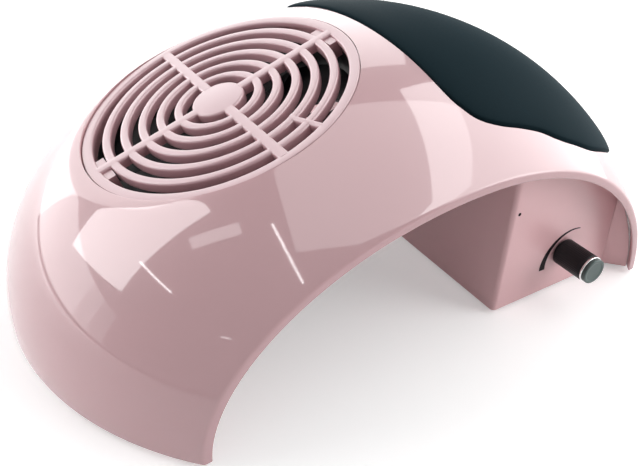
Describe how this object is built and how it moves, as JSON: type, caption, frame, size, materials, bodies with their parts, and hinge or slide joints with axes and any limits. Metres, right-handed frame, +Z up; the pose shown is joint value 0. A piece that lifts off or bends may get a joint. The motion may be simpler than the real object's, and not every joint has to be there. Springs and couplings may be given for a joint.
{
  "type": "nail dust collector",
  "caption": "Tabletop nail dust collector: an arched pink shell with a round suction grille over a fan, a black padded hand rest and a speed knob on the box below it.",
  "frame": {"origin": "centre of the bounding box in plan, on the table under the rubber feet", "axes": "+X along the arch from the grille's side to the hand rest's side, -Y towards the person at the speed knob, +Z up"},
  "size_m": [0.295, 0.2064, 0.1102],
  "materials": {
    "shell_pink": "glossy moulded plastic, dusty pink",
    "grille_pink": "semi-gloss moulded plastic, pale pink",
    "pad_black": "smooth satin soft rubber skin, blue black",
    "rubber_black": "matt rubber",
    "fan_black": "satin black moulded plastic",
    "knob_black": "satin black moulded plastic",
    "knob_chrome": "bright plated ring",
    "knob_cap_grey": "satin grey green cap",
    "steel": "zinc plated steel",
    "motor_iron": "bare laminated iron",
    "board_green": "green solder mask",
    "part_black": "black moulded plastic",
    "sleeve_blue": "shrink sleeve",
    "coil_yellow": "yellow winding tape",
    "heat_sink_aluminium": "bare extruded aluminium",
    "terminal_green": "green moulded plastic",
    "lead_grey": "satin cable sheath"
  },
  "bodies": {
    "body": {"base_cover": "shell_pink", "board_screw_1": "steel", "board_screw_2": "steel", "board_screw_3": "steel", "board_screw_4": "steel", "capacitor": "sleeve_blue", "circuit_board": "board_green", "control_box": "shell_pink", "cover_screw_1": "steel", "cover_screw_2": "steel", "cover_screw_3": "steel", "cover_screw_4": "steel", "fan_housing": "fan_black", "fan_screw_1": "steel", "fan_screw_2": "steel", "fan_screw_3": "steel", "fan_screw_4": "steel", "hand_rest_cushion": "pad_black", "heat_sink": "heat_sink_aluminium", "inlet_lead": "lead_grey", "lead_grommet": "rubber_black", "lower_bearing": "steel", "mains_terminal": "terminal_green", "motor_lead": "lead_grey", "motor_stator": "motor_iron", "motor_terminal": "terminal_green", "outer_shell": "shell_pink", "outlet_guard": "fan_black", "panel_nut": "steel", "potentiometer": "part_black", "power_inlet": "part_black", "rubber_foot_1": "rubber_black", "rubber_foot_2": "rubber_black", "rubber_foot_3": "rubber_black", "rubber_foot_4": "rubber_black", "rubber_foot_5": "rubber_black", "rubber_foot_6": "rubber_black", "transformer": "coil_yellow", "upper_bearing": "steel"},
    "impeller": {"fan_impeller": "fan_black", "fan_shaft": "steel", "shaft_clip": "steel"},
    "speed_knob": {"knob_body": "knob_black", "knob_ring": "knob_chrome", "knob_cap": "knob_cap_grey", "control_shaft": "steel"},
    "grille": {"grille_cover": "grille_pink"}
  },
  "joints": [
    {"name": "impeller_spin", "type": "hinge", "parent": "body", "child": "impeller", "pos_m": [-0.0485, 0.00435, 0.0886], "axis": [-0.3255, 0, 0.9455], "continuous": true},
    {"name": "knob_turn", "type": "hinge", "parent": "body", "child": "speed_knob", "pos_m": [0.0729, -0.08405, 0.0215], "axis": [0, 1, 0], "range_deg": [0, 300]},
    {"name": "grille_lift", "type": "slide", "parent": "body", "child": "grille", "axis": [-0.3255, 0, 0.9455], "range_m": [0, 0.03]}
  ]
}
